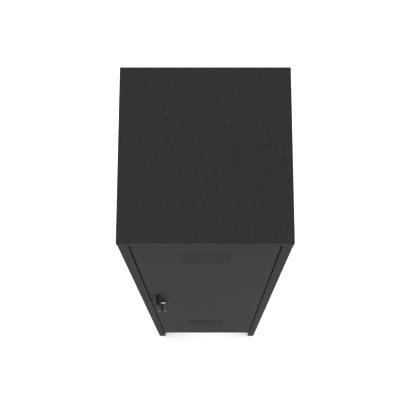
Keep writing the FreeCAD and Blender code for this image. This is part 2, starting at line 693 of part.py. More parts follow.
def lockBarrel():
    """The lock's fixed housing with its bright rim in front of the boss."""
    solid = join("barrel_solid",
                 lockRod("barrel_body", "barrel_radius", "rim_front", "stop_front - 1"),
                 lockRod("barrel_rim", "rim_radius", "rim_front", "rim_front + rim_thick"))
    bore = lockRod("barrel_bore", "plug_radius + turn_play", "rim_front - 1", "stop_front + 1")
    node(cut("barrel_cut", solid, bore), "lock_barrel")


def lockNut():
    """A thin six-sided nut behind the skin clamps the barrel."""
    prism = doc.addObject("Part::Prism", "nut_prism")
    prism.Polygon = 6
    prism.Placement.Rotation = TURNS["y"]
    bind(prism, "Circumradius", "nut_flats / sqrt(3)")
    bind(prism, "Height", "nut_thick")
    bind(prism, "Placement.Base.x", "lock_x")
    bind(prism, "Placement.Base.y", "door_inside")
    bind(prism, "Placement.Base.z", "lock_height")
    hole = lockRod("nut_hole", "barrel_radius + turn_play", "front - 1", "door_inside + nut_thick + 1")
    node(cut("nut_cut", prism, hole), "lock_nut")


# ---------------------------------------------------------------- lock, key and ring

def stub(name, play, low, high):
    half = f"(stub_side / 2 + {play})"
    return block(name, (f"lock_x - {half}", f"lock_x + {half}"), (low, high),
                 (f"lock_height - {half}", f"lock_height + {half}"))


def lockPlug():
    """The turning plug: keyway in front, a square stub for the cam behind."""
    solid = join("plug_solid",
                 lockRod("plug_body", "plug_radius", "rim_front", "stop_front - plug_short"),
                 stub("plug_stub", "0", "stop_front - 1", "cam_back"))
    keyway = block("plug_keyway",
                   ("lock_x - blade_thick / 2 - keyway_play", "lock_x + blade_thick / 2 + keyway_play"),
                   ("rim_front - 1", "rim_front + blade_deep + 1"),
                   ("lock_height - blade_tall / 2 - keyway_play",
                    "lock_height + blade_tall / 2 + keyway_play"))
    pilot = lockRod("plug_pilot", "screw_radius + turn_play", "cam_back - cam_screw_deep - 1",
                    "cam_back + 1")
    node(cut("plug_cut", solid, keyway, pilot), "lock_plug")


def lockCam():
    """A flat bolt that hangs down when open and turns behind the stop flange when locked."""
    y = ("cam_front", "cam_back")
    arm = block("cam_arm", ("lock_x - cam_wide / 2", "lock_x + cam_wide / 2"), y,
                ("lock_height - cam_reach - cam_wide / 2", "lock_height"))
    solid = join("cam_solid", arm, lockRod("cam_round", "cam_wide / 2", *y))
    node(cut("cam_cut", solid, stub("cam_hole", "stub_play", "cam_front - 1", "cam_back + 1")),
         "lock_cam")


def camFixing():
    washer = lockRod("cam_washer_disc", "washer_radius", "cam_back", "cam_back + washer_thick")
    hole = lockRod("cam_washer_hole", "screw_radius + turn_play", "cam_back - 1",
                   "cam_back + washer_thick + 1")
    node(cut("cam_washer_cut", washer, hole), "cam_washer")
    seat = "cam_back + washer_thick"
    screw = join("cam_screw_solid",
                 lockRod("cam_screw_shank", "screw_radius", "cam_back - cam_screw_deep", f"{seat} + 1"),
                 lockRod("cam_screw_head", "cam_head_radius", seat, f"{seat} + cam_head_thick"))
    node(screw, "cam_screw")


def keyBlade():
    """The flat steel blade, its rear end held in the bow's cover."""
    y = ("bow_front + bow_long - bow_grip", "rim_front + blade_deep")
    blade = block("key_blade_flat", ("lock_x - blade_thick / 2", "lock_x + blade_thick / 2"), y,
                  ("lock_height - blade_tall / 2", "lock_height + blade_tall / 2"))
    node(blade, "key_blade")


def keyBow():
    """The moulded bow, with a hole for the ring and a pocket for the blade."""
    body = newBody("bow_body")
    z = ("lock_height - bow_tall / 2", "lock_height + bow_tall / 2")
    y = ("bow_front", "bow_front + bow_long")
    sketch = outline(body, "bow_outline", "YZ_Plane", rectangle(y, z), "lock_x - bow_thick / 2")
    pad(body, sketch, "bow_thick")
    rounded(body, "bow_corners", "x", [(a, b) for a in y for b in z], "bow_round")
    hole = rod("bow_ring_hole", "x", "ring_hole", ("ring_y", "lock_height"),
               "lock_x - bow_thick", "lock_x + bow_thick")
    slot = block("bow_slot", ("lock_x - blade_thick / 2", "lock_x + blade_thick / 2"),
                 ("bow_front + bow_long - bow_grip", "bow_front + bow_long + 1"),
                 ("lock_height - blade_tall / 2", "lock_height + blade_tall / 2"))
    node(cut("bow_cut", body, hole, slot), "key_bow")


def keyRing():
    """A wire ring hanging in the bow's hole."""
    ring = doc.addObject("Part::Torus", "ring_wire_loop")
    ring.Placement.Rotation = TURNS["y"]
    bind(ring, "Radius1", "ring_radius")
    bind(ring, "Radius2", "ring_wire")
    bind(ring, "Placement.Base.x", "lock_x")
    bind(ring, "Placement.Base.y", "ring_y")
    bind(ring, "Placement.Base.z", "lock_height - ring_drop - ring_radius")
    node(ring, "key_ring")


for make in (frontPosts, rearPosts, sidePanels, topLid, backPanel, headerRail, bottomRail, bottomPan,
             hatShelf, shelfClips, hangingRail, railSockets, legGlides, hingeBushes, doorBuffers,
             doorPanel, doorStiffener, doorHinge, pullHandle, handleScrews, lockBarrel, lockNut,
             lockPlug, lockCam, camFixing, keyBlade, keyBow, keyRing):
    make()
doc.recompute()

for thing in doc.Objects:
    if "Invalid" in thing.State or "Error" in thing.State:
        raise RuntimeError(f"{thing.Name} failed: {thing.State}")
for thing in nodes:
    if thing.Shape.isNull() or not thing.Shape.isValid():
        raise RuntimeError(f"{thing.Label} has no valid shape")

os.makedirs("parts", exist_ok=True)
for thing in nodes:
    thing.Shape.exportStep(f"parts/{thing.Label}.step")
    box = thing.Shape.BoundBox
    print(f"{thing.Label}: {len(thing.Shape.Solids)} solid(s), {thing.Shape.Volume:.0f} mm3, "
          f"x {box.XMin:.1f}..{box.XMax:.1f}, y {box.YMin:.1f}..{box.YMax:.1f}, "
          f"z {box.ZMin:.1f}..{box.ZMax:.1f}")
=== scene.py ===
import bpy
import bmesh
import numpy as np
import json
from math import radians, pi
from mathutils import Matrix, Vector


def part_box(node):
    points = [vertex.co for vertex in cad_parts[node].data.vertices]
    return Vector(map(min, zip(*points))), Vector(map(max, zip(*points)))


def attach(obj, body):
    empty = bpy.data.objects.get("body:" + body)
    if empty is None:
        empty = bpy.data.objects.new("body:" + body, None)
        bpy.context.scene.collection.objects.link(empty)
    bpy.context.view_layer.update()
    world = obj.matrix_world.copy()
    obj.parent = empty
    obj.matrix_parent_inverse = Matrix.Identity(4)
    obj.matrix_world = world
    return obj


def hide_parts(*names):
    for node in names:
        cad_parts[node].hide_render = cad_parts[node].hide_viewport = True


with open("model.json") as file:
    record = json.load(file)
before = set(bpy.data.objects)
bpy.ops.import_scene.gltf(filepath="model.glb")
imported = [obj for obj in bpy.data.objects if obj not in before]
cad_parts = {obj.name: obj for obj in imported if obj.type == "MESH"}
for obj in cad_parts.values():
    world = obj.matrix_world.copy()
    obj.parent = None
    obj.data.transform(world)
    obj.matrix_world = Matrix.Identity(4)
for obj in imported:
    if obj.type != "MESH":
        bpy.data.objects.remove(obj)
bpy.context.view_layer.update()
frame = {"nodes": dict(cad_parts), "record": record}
nodes = frame["nodes"]
mm = 0.001
print("frame loaded:", len(nodes), "nodes")


# the view: a steep look down on the lid and the front through a moderate telephoto. The place is
# counted in millimetres from the middle of the lid's front top edge, and the tilt is in degrees
viewFrom = {"right": 5.77, "before": 400.0, "above": 1929.1, "tilt": 13.92, "lens": 80.15}


def placeCamera():
    lidLow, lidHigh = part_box("top_lid")
    cam = bpy.data.objects.new("viewCamera", bpy.data.cameras.new("viewCamera"))
    bpy.context.scene.collection.objects.link(cam)
    cam.data.lens = viewFrom["lens"]
    cam.data.sensor_width = 36.0
    cam.data.clip_end = 50.0
    cam.location = (viewFrom["right"] * mm,
                    lidLow.y - viewFrom["before"] * mm,
                    lidHigh.z + viewFrom["above"] * mm)
    cam.rotation_euler = (radians(viewFrom["tilt"]), 0, 0)
    bpy.context.scene.camera = cam


placeCamera()
bpy.context.scene.view_settings.view_transform = "Standard"


def linear(hexColour):
    # sRGB hex to the linear values that shaders take
    values = []
    for i in (0, 2, 4):
        c = int(hexColour[i:i + 2], 16) / 255
        values.append(c / 12.92 if c <= 0.04045 else ((c + 0.055) / 1.055) ** 2.4)
    return (*values, 1.0)


def addNode(tree, kind, links=None, **settings):
    # makes a node, sets its sockets and properties by name, and links {socket: other output}
    n = tree.nodes.new(kind)
    for word, value in settings.items():
        if hasattr(n, word):
            setattr(n, word, value)
        else:
            n.inputs[word.replace("_", " ")].default_value = value
    for socket, output in (links or {}).items():
        tree.links.new(output, n.inputs[socket])
    return n


def newMaterial(name):
    mat = bpy.data.materials.new(name)
    mat.use_nodes = True
    tree = mat.node_tree
    tree.nodes.clear()
    out = tree.nodes.new("ShaderNodeOutputMaterial")
    shader = tree.nodes.new("ShaderNodeBsdfPrincipled")
    tree.links.new(shader.outputs[0], out.inputs["Surface"])
    coords = tree.nodes.new("ShaderNodeTexCoord").outputs["Object"]
    return mat, tree, shader, coords


def mixTones(tree, shader, factor, darkHex, lightHex):
    # the base colour runs between two tones by a pattern
    colour = addNode(tree, "ShaderNodeMix", {"Factor": factor}, data_type="RGBA")
    colour.inputs[6].default_value = linear(darkHex)
    colour.inputs[7].default_value = linear(lightHex)
    tree.links.new(colour.outputs[2], shader.inputs["Base Color"])


def rangeRoughness(tree, shader, factor, low, high):
    # the roughness runs between two values by a pattern
    rough = addNode(tree, "ShaderNodeMapRange", {0: factor})
    rough.inputs[3].default_value, rough.inputs[4].default_value = low, high
    tree.links.new(rough.outputs[0], shader.inputs["Roughness"])


def setShader(shader, **values):
    for word, value in values.items():
        shader.inputs[word.replace("_", " ")].default_value = value


def perMillimetre(size):
    # noise scale whose features are about this many millimetres across
    return 1.0 / (size * mm)


# sizes of the patterns inside the finishes, in millimetres; coatFleck is a share of the coat's grain
pattern = {"coatDrift": 320, "coatWave": 12, "coatFleck": 1.4, "coatBump": 0.25, "waveBump": 0.4,
           "plasticCloud": 14, "plasticBump": 0.08, "metalBloom": 11, "metalBump": 0.05}


def powderCoat(name, darkHex, lightHex, roughLow, roughHigh, grain, relief, gloss):
    # polyester powder coat, baked: a satin skin with fine pebbling that breaks up reflections,
    # and a barely visible drift in tone where the film is thicker or thinner
    mat, tree, shader, coords = newMaterial(name)
    drift = addNode(tree, "ShaderNodeTexNoise", {"Vector": coords},
                    Scale=perMillimetre(pattern["coatDrift"]), Detail=1.0, Roughness=0.4)
    fleck = addNode(tree, "ShaderNodeTexNoise", {"Vector": coords},
                    Scale=perMillimetre(grain * pattern["coatFleck"]), Detail=3.0, Roughness=0.6)
    blend = addNode(tree, "ShaderNodeMath", {0: drift.outputs[0], 1: fleck.outputs[0]},
                    operation="MULTIPLY_ADD")
    tree.links.new(fleck.outputs[0], blend.inputs[2])
    # drift times fleck plus fleck lies mostly between these two values
    tone = addNode(tree, "ShaderNodeMapRange", {0: blend.outputs[0]})
    tone.inputs[1].default_value, tone.inputs[2].default_value = 0.45, 1.05
    mixTones(tree, shader, tone.outputs[0], darkHex, lightHex)
    rangeRoughness(tree, shader, fleck.outputs[0], roughLow, roughHigh)
    pebble = addNode(tree, "ShaderNodeTexVoronoi", {"Vector": coords},
                     feature="SMOOTH_F1", Scale=perMillimetre(grain), Smoothness=0.8)
    wave = addNode(tree, "ShaderNodeTexNoise", {"Vector": coords},
                   Scale=perMillimetre(pattern["coatWave"]), Detail=1.0)
    fine = addNode(tree, "ShaderNodeBump", {"Height": pebble.outputs[0]},
                   Strength=relief, Distance=pattern["coatBump"] * mm)
    skin = addNode(tree, "ShaderNodeBump", {"Height": wave.outputs[0], "Normal": fine.outputs[0]},
                   Strength=relief / 2, Distance=pattern["waveBump"] * mm)
    tree.links.new(skin.outputs[0], shader.inputs["Normal"])
    setShader(shader, Specular_IOR_Level=gloss, IOR=1.5)
    return mat


def mouldedPlastic(name, darkHex, lightHex, roughLow, roughHigh, grain, relief, gloss):
    # injection moulded polymer: spark-eroded grain gives a soft sheen with fine sparkle
    mat, tree, shader, coords = newMaterial(name)
    cloud = addNode(tree, "ShaderNodeTexNoise", {"Vector": coords},
                    Scale=perMillimetre(pattern["plasticCloud"]), Detail=3.0)
    mixTones(tree, shader, cloud.outputs[0], darkHex, lightHex)
    pores = addNode(tree, "ShaderNodeTexNoise", {"Vector": coords},
                    Scale=perMillimetre(grain), Detail=4.0, Roughness=0.65)
    rangeRoughness(tree, shader, pores.outputs[0], roughLow, roughHigh)
    bump = addNode(tree, "ShaderNodeBump", {"Height": pores.outputs[0]},
                   Strength=relief, Distance=pattern["plasticBump"] * mm)
    tree.links.new(bump.outputs[0], shader.inputs["Normal"])
    setShader(shader, Specular_IOR_Level=gloss, IOR=1.5)
    return mat


def platedMetal(name, darkHex, lightHex, roughLow, roughHigh, streak, relief):
    # plated steel: the tone and the gloss wander with the grain of the metal underneath,
    # drawn out along Z into short polishing streaks
    mat, tree, shader, coords = newMaterial(name)
    stretch = addNode(tree, "ShaderNodeMapping", {"Vector": coords}, Scale=(1.0, 1.0, 0.12))
    lines = addNode(tree, "ShaderNodeTexNoise", {"Vector": stretch.outputs[0]},
                    Scale=perMillimetre(streak), Detail=5.0, Roughness=0.7)
    bloom = addNode(tree, "ShaderNodeTexNoise", {"Vector": coords},
                    Scale=perMillimetre(pattern["metalBloom"]), Detail=2.0)
    mixTones(tree, shader, bloom.outputs[0], darkHex, lightHex)
    rangeRoughness(tree, shader, lines.outputs[0], roughLow, roughHigh)
    bump = addNode(tree, "ShaderNodeBump", {"Height": lines.outputs[0]},
                   Strength=relief, Distance=pattern["metalBump"] * mm)
    tree.links.new(bump.outputs[0], shader.inputs["Normal"])
    setShader(shader, Metallic=1.0)
    return mat


# each slot's finish: its name, its two tones, then the lowest and highest roughness and the rest
materials = {
    # the pebbling is about 1 mm across on the real coat: it is drawn 2.4 mm across so that it shows
    "powder_coat": powderCoat("anthracitePowderCoat", "262627", "2c2c2d", 0.6, 0.76,
                              grain=2.4, relief=0.4, gloss=0.017),
    "black_plastic": mouldedPlastic("mouldedBlackNylon", "1d1d1e", "232324", 0.55, 0.7,
                                    grain=0.6, relief=0.25, gloss=0.03),
    "chrome": platedMetal("brightChromePlate", "a9abaf", "b9bbbe", 0.06, 0.14,
                          streak=0.8, relief=0.03),
    "zinc": platedMetal("clearZincPlate", "8d9196", "aab0b4", 0.28, 0.46, streak=0.7, relief=0.15),
    "key_steel": platedMetal("nickelPlatedKeySteel", "57554f", "6a6861", 0.24, 0.38,
                             streak=0.5, relief=0.12),
    "nylon": mouldedPlastic("naturalNylon", "9d988b", "b0ab9e", 0.35, 0.5,
                            grain=0.9, relief=0.15, gloss=0.4),
    "rubber": mouldedPlastic("blackBufferRubber", "121212", "1c1c1b", 0.68, 0.82,
                             grain=0.8, relief=0.4, gloss=0.15),
}


def newPiece(name, points, faces, material):
    mesh = bpy.data.meshes.new(name)
    mesh.from_pydata(np.asarray(points, float).tolist(), [], np.asarray(faces).tolist())
    mesh.materials.append(material)
    mesh.polygons.foreach_set("use_smooth", np.ones(len(mesh.polygons), bool))
    mesh.update()
    piece = bpy.data.objects.new(name, mesh)
    bpy.context.scene.collection.objects.link(piece)
    return piece


def tidyMesh(piece):
    # welds the rows that meet and turns all faces outwards
    apart = 0.001 * mm
    work = bmesh.new()
    work.from_mesh(piece.data)
    bmesh.ops.remove_doubles(work, verts=work.verts, dist=apart)
    bmesh.ops.dissolve_degenerate(work, edges=work.edges, dist=apart)
    bmesh.ops.recalc_face_normals(work, faces=work.faces)
    work.to_mesh(piece.data)
    work.free()


def gridFaces(rows, columns, closed=False):
    # quads between neighbouring points of a grid; closed joins the last column to the first
    across = columns if closed else columns - 1
    r, c = np.meshgrid(np.arange(rows - 1), np.arange(across), indexing="ij")
    d = (c + 1) % columns
    quads = [r * columns + c, r * columns + d, (r + 1) * columns + d, (r + 1) * columns + c]
    return np.stack(quads, axis=-1).reshape(-1, 4)


def lathe(profile, centre, around):
    # a profile of (radius, place along Y) turned round an axis parallel to Y through the centre:
    # x = cx + r cos a, z = cz + r sin a
    profile = np.asarray(profile)
    a = np.linspace(0, 2 * pi, around, endpoint=False)
    r, along = profile[:, :1], profile[:, 1:]
    points = np.stack([centre[0] + r * np.cos(a), np.broadcast_to(along, (len(profile), around)),
                       centre[1] + r * np.sin(a)], axis=-1)
    return points.reshape(-1, 3), gridFaces(len(profile), around, closed=True)


def arc(centre, radius, start, end, steps):
    # points on a circle from one angle to another, in degrees
    a = np.radians(np.linspace(start, end, steps))
    return np.stack([centre[0] + radius * np.cos(a), centre[1] + radius * np.sin(a)], axis=1)


def stackParts(*parts):
    # several closed skins in one mesh: each one's faces count on from the points before it
    points, faces, count = [], [], 0
    for skin, quads in parts:
        points.append(skin)
        faces.append(np.asarray(quads) + count)
        count += len(skin)
    return np.concatenate(points), np.concatenate(faces)


def roundedLoop(halfWide, halfTall, corner, perCorner=8):
    # once round a rectangle with quarter-circle corners, anticlockwise from the upper right
    a = np.radians(np.linspace(0, 90, perCorner))
    turn = np.arange(4)[:, None] * pi / 2
    signX, signZ = np.array([1, -1, -1, 1])[:, None], np.array([1, 1, -1, -1])[:, None]
    return np.stack([signX * (halfWide - corner) + corner * np.cos(a + turn),
                     signZ * (halfTall - corner) + corner * np.sin(a + turn)], axis=-1).reshape(-1, 2)


def loftBlock(rows, halfWide, halfTall, corner, centre):
    # a rounded rectangle carried along Y: each row is (inset, y), and the outline shrinks by the
    # inset until it shuts on its middle line
    loops = []
    for inset, y in rows:
        loop = roundedLoop(halfWide - inset, halfTall - inset, max(corner - inset, 0))
        x, z = (centre + loop).T
        loops.append(np.stack([x, np.full(len(loop), y), z], axis=1))
    return np.concatenate(loops), gridFaces(len(rows), len(loops[0]), closed=True)


def boxMm(node):
    # a node's lowest and highest corners in millimetres
    low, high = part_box(node)
    return np.array(low) / mm, np.array(high) / mm


slotOf = {part["node"]: part["material_slot"] for part in frame["record"]["subparts"]}
bodyOf = {node: body for body, held in frame["record"]["behaviour"]["bodies"].items() for node in held}


def standFor(node, name, points, faces):
    # makes the piece in millimetres, gives it the finish and the body of the node it stands for
    piece = newPiece(name, np.asarray(points) * mm, faces, materials[slotOf[node]])
    tidyMesh(piece)
    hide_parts(node)
    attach(piece, bodyOf[node])
    return piece


def middleOf(node):
    # the axis of a round part that runs along Y: its x and z
    low, high = boxMm(node)
    return (low[0] + high[0]) / 2, (low[2] + high[2]) / 2


# the door: a folded pan with two groups of pressed louvres. ventDown and ventUp say where the groups
# start, from the door's top and from its bottom; ventRise is the share of a louvre's height at which
# it stands fully proud; guard is how near a cut the lines lie that keep the sheet's shading flat
door = {
    "sheet": 1.0, "bend": 1.5, "lip": 14.0, "deep": 18.0, "bendRows": 7,
    "ventHalf": 61.5, "ventTall": 13.0, "ventProud": 1.3, "ventPitch": 24.0, "ventCount": 6,
    "ventEnd": 7.0, "ventRise": 0.8, "ventDown": 74.0, "ventUp": 385.0, "ventRows": 12, "endLines": 9,
    "lockHole": 8.15, "plainStep": 48.0, "plainEnd": 8.0, "guard": 0.4,
}


def panLines(low, high, inside):
    # places across the pan from one side to the other: lip, return, bend, face, then the same
    # mirrored. Columns: place, bend as 1 - cos, depth behind the face, reach of the lip.
    # Also says which places are on a lip or a return
    bend, deep, lip = door["bend"], door["deep"], door["lip"]
    a = np.radians(np.linspace(90, 0, door["bendRows"]))
    side = np.array([[high, 1, deep, lip], [high, 1, deep, 0], [high, 1, (deep + bend) / 2, 0]])
    turn = np.stack([high - bend + bend * np.sin(a), 1 - np.cos(a), bend * (1 - np.cos(a)), 0 * a],
                    axis=1)
    upper = np.concatenate([side, turn])
    lower = upper.copy()
    lower[:, 0] = low + high - lower[:, 0]
    middle = np.zeros((len(inside), 4))
    middle[:, 0] = inside
    folded = np.ones(2 * len(upper) + len(inside), bool)
    folded[len(side):-len(side)] = False
    return np.concatenate([lower, middle, upper[::-1]]), folded


def louvreRows(tops):
    # heights of the rows across every louvre, how far each is lifted and whether it is the lifted
    # side of a slot. The lift is a quarter sine from the top edge to the lip, then flush again at
    # the same height, where the sheet is cut through. A guard row lies above and below
    guard = door["guard"] / door["ventTall"]
    v = np.concatenate([[-guard], np.linspace(0, 1, door["ventRows"]), [1, 1 + guard]])
    lift = np.sin(np.clip(v / door["ventRise"], 0, 1) * pi / 2)
    lift[-2:] = 0
    slot = np.zeros(len(v), bool)
    slot[-3] = True
    z = np.asarray(tops)[:, None] - door["ventTall"] * v
    return z.ravel(), np.tile(lift, len(tops)), np.tile(slot, len(tops))


def plainLines(low, high):
    # evenly spaced places between two others, which are left out
    count = max(int((high - low) / door["plainStep"]), 1)
    return np.linspace(low, high, count + 2)[1:-1]


def holeLines(middle):
    # both sides of the lock's hole, each with its guard line
    reach = np.array([door["lockHole"], door["lockHole"] + door["guard"]])
    return np.concatenate([middle - reach, middle + reach])


def doorColumns(low, high, lockX):
    # places across the face: the louvres' rounded ends, the lock's hole and plain ones
    half, end, edge = door["ventHalf"], door["ventEnd"], door["plainEnd"]
    quarter = np.linspace(0, pi / 2, door["endLines"])
    ends = np.append(half - end * (1 - np.cos(quarter)), half + door["guard"])
    return np.sort(np.concatenate([
        ends, -ends, holeLines(lockX), plainLines(low + edge, -half), plainLines(half, high - edge),
        plainLines(end - half, half - end)]))


def doorHeights(low, high, lockZ):
    # heights up the face, with what louvreRows says of each. They go upwards, and the flush side
    # of a slot comes just before its lifted side
    tall, hole, edge = door["ventTall"], door["lockHole"], door["plainEnd"]
    steps = np.arange(door["ventCount"]) * door["ventPitch"]
    upper, lower = high - door["ventDown"] - steps, low + door["ventUp"] - steps
    ventZ, lift, slot = louvreRows(np.concatenate([upper, lower]))
    plain = np.concatenate([
        plainLines(low + edge, lower[-1] - tall), plainLines(lower[0], lockZ - hole),
        holeLines(lockZ), plainLines(lockZ + hole, upper[-1] - tall),
        plainLines(upper[0], high - edge)])
    z = np.concatenate([ventZ, plain])
    lift, slot = np.pad(lift, (0, len(plain))), np.pad(slot, (0, len(plain)))
    order = np.lexsort((lift, z))
    return z[order], lift[order], slot[order]


def buildDoor():
    # y = face + what the bends take back - louvre lift, on a grid of columns in x and rows in z.
    # The lips fold in over a mitre. Cells between two sides, slots and the lock's hole are left out
    low, high = boxMm("door_panel")
    face, half, hole = high[1] - door["deep"], door["ventHalf"], door["lockHole"]
    lockX, lockZ = middleOf("lock_barrel")
    heights, lift, slot = doorHeights(low[2], high[2], lockZ)
    xLines, xFolded = panLines(low[0], high[0], doorColumns(low[0], high[0], lockX))
    zLines, zFolded = panLines(low[2], high[2], heights)
    edge = (len(zLines) - len(heights)) // 2
    lift, slot = np.pad(lift, edge), np.pad(slot, edge)

    across, bendX, deepX, lipX = xLines.T[:, None, :]
    up, bendZ, deepZ, lipZ = zLines.T[:, :, None]
    folded = xFolded[None, :] | zFolded[:, None]
    rounding = np.sin(np.clip((half - np.abs(across)) / door["ventEnd"], 0, 1) * pi / 2)
    bent = door["bend"] * (1 - (1 - bendX) * (1 - bendZ))
    y = face + np.where(folded, np.maximum(deepX, deepZ), bent)
    y = y - door["ventProud"] * lift[:, None] * rounding
    middle, reach = (low[2] + high[2]) / 2, (high[2] - low[2]) / 2
    x = np.clip(across, lipZ - high[0], high[0] - lipZ) - lipX * np.sign(across)
    z = middle + np.clip(up - middle, lipX - reach, reach - lipX) - lipZ * np.sign(up - middle)
    points = np.stack(np.broadcast_arrays(x, y, z), axis=-1).reshape(-1, 3)

    rows, count = y.shape
    r, c = np.divmod(np.arange((rows - 1) * (count - 1)), count - 1)
    corner = (xFolded[c] | xFolded[c + 1]) & (zFolded[r] | zFolded[r + 1])
    cellX = (xLines[c, 0] + xLines[c + 1, 0]) / 2
    cellZ = (zLines[r, 0] + zLines[r + 1, 0]) / 2
    slotOpen = slot[r + 1] & (np.abs(cellX) < half) & (zLines[r, 0] == zLines[r + 1, 0])
    lockOpen = (np.abs(cellX - lockX) < hole) & (np.abs(cellZ - lockZ) < hole)
    faces = gridFaces(rows, count)[~(corner | slotOpen | lockOpen)]
    piece = standFor("door_panel", "doorSkin", points, faces)
    wall = piece.modifiers.new("sheetThickness", "SOLIDIFY")
    wall.thickness = door["sheet"] * mm
    wall.offset = -1


# the handle: one moulding with a grip, a foot and the lock's boss
handle = {
    "foot": 3.0, "footEdge": 1.0, "footHalf": 6.5, "footCorner": 4.0, "footTall": 119.5,
    "gripHalf": 5.0, "gripRim": 1.5, "gripTall": 110.0, "gripCorner": 2.5, "tip": 4.0, "fillet": 1.3,
    "boss": 12.0, "bore": 8.1, "boreEdge": 0.3, "sunk": 0.5, "edgeSteps": 6, "tipSteps": 10,
    "sideRows": 8, "around": 72,
}


def buildHandle():
    low, high = boxMm("pull_handle")
    face, tip, steps = high[1], low[1], handle["edgeSteps"]
    middle = low[0] + handle["footHalf"]
    footFace, e = face - handle["foot"], handle["footEdge"]
    # foot: straight sides, a quarter-circle edge, then shut on its middle line
    edge = arc((e, footFace + e), e, 180, 270, steps)
    rows = [(handle["footHalf"], face), (0, face), *edge, (handle["footHalf"], footFace)]
    foot = loftBlock(rows, handle["footHalf"], handle["footTall"] / 2, handle["footCorner"],
                     (middle, high[2] - handle["footTall"] / 2))
    # grip: a small fillet where it leaves the foot, straight sides, a quarter-circle tip
    f, t, sunk = handle["fillet"], handle["tip"], face - handle["sunk"]
    rows = [(handle["gripHalf"], sunk), (-f, sunk), *arc((-f, footFace - f), f, 90, 0, steps)]
    rows += [(0, y) for y in np.linspace(footFace - f, tip + t, handle["sideRows"])[1:-1]]
    rows += [*arc((t, tip + t), t, 180, 270, handle["tipSteps"]), (handle["gripHalf"], tip)]
    grip = loftBlock(rows, handle["gripHalf"], handle["gripTall"] / 2, handle["gripCorner"],
                     (middle, high[2] - handle["gripRim"] - handle["gripTall"] / 2))
    # boss: a ring with a rounded rim, round the bore for the lock
    r, bore, slope = handle["boss"], handle["bore"], handle["boreEdge"]
    profile = [(bore, face), (r, face), *arc((r - e, footFace + e), e, 0, -90, steps)]
    profile += [(bore + slope, footFace), (bore, footFace + slope), (bore, face)]
    boss = lathe(profile, middleOf("lock_barrel"), handle["around"])
    standFor("pull_handle", "handleMoulding", *stackParts(foot, grip, boss))


# the lock's barrel: a turned rim in front and a threaded body behind
lockRim = {"rim": 3.0, "edge": 0.9, "bore": 6.05, "body": 8.0, "pitch": 1.0, "thread": 0.35,
           "mouth": 0.5, "chamfer": 0.4, "relief": 1.0, "perTurn": 6, "edgeSteps": 8, "around": 72}


def buildLockRim():
    # radius along the thread = body - depth (1 - cos(2 pi y / pitch)) / 2
    low, high = boxMm("lock_barrel")
    front, back, r = low[1], high[1], (high[0] - low[0]) / 2
    e, body, bore, mouth = (lockRim[word] for word in ("edge", "body", "bore", "mouth"))
    y = np.arange(front + lockRim["rim"] + lockRim["relief"], back - lockRim["chamfer"],
                  lockRim["pitch"] / lockRim["perTurn"])
    wave = lockRim["thread"] * (1 - np.cos(2 * pi * (y - y[0]) / lockRim["pitch"])) / 2
    profile = [(bore, back), (bore, front + mouth), (bore + mouth, front)]
    profile += [*arc((r - e, front + e), e, -90, 0, lockRim["edgeSteps"])]
    profile += [(r, front + lockRim["rim"]), (body, front + lockRim["rim"]), *zip(body - wave, y)]
    profile += [(body - lockRim["chamfer"], back), (bore, back)]
    standFor("lock_barrel", "lockRim", *lathe(profile, middleOf("lock_barrel"), lockRim["around"]))


# the key: a moulded bow with dished faces, and a split ring through it. holeIn is how far the
# hole's middle lies from the bow's free end, and the dish has its rows between two shares
key = {"corner": 5.0, "edge": 1.0, "hole": 4.0, "holeIn": 8.0, "holeEdge": 0.7, "dish": 0.45,
       "dishFrom": 0.25, "dishTo": 0.8, "dishRows": 9, "edgeRows": 6, "perCorner": 12}


def buildKeyBow():
    # a slab between a rounded outline and a round hole. Each row runs along both, a share f of
    # the way between them and a few tenths of a millimetre on; the faces dip by dish sin^2(pi f)
    low, high = boxMm("key_bow")
    middle, half = (low[0] + high[0]) / 2, (high[0] - low[0]) / 2
    centre = np.array([low[1] + high[1], low[2] + high[2]]) / 2
    rim = centre + roundedLoop((high[1] - low[1]) / 2, (high[2] - low[2]) / 2, key["corner"],
                               key["perCorner"])
    eye = np.array([low[1] + key["holeIn"], centre[1]])
    a = np.arctan2(rim[:, 1] - eye[1], rim[:, 0] - eye[0])
    hole = eye + key["hole"] * np.stack([np.cos(a), np.sin(a)], axis=1)
    toward = (hole - rim) / np.linalg.norm(hole - rim, axis=1, keepdims=True)
    e, h = key["edge"], key["holeEdge"]
    quarter = np.linspace(0, pi / 2, key["edgeRows"])
    shares = np.linspace(key["dishFrom"], key["dishTo"], key["dishRows"])
    rows = [(0, e * (1 - np.cos(k)), half - e + e * np.sin(k)) for k in quarter]
    rows += [(f, 0, half - key["dish"] * np.sin(pi * f) ** 2) for f in shares]
    rows += [(1, h * (np.sin(k) - 1), half - h + h * np.cos(k)) for k in quarter]
    rows += [(f, d, -x) for f, d, x in reversed(rows)] + rows[:1]
    loops = []
    for f, d, x in rows:
        place = rim * (1 - f) + hole * f + toward * d
        loops.append(np.column_stack([np.full(len(rim), middle + x), place]))
    faces = gridFaces(len(loops), len(rim), closed=True)
    standFor("key_bow", "keyBow", np.concatenate(loops), faces)


splitRing = {"wire": 0.45, "turns": 1.94, "steps": 192, "around": 12, "swapSpeed": 40,
             "endShare": 96}


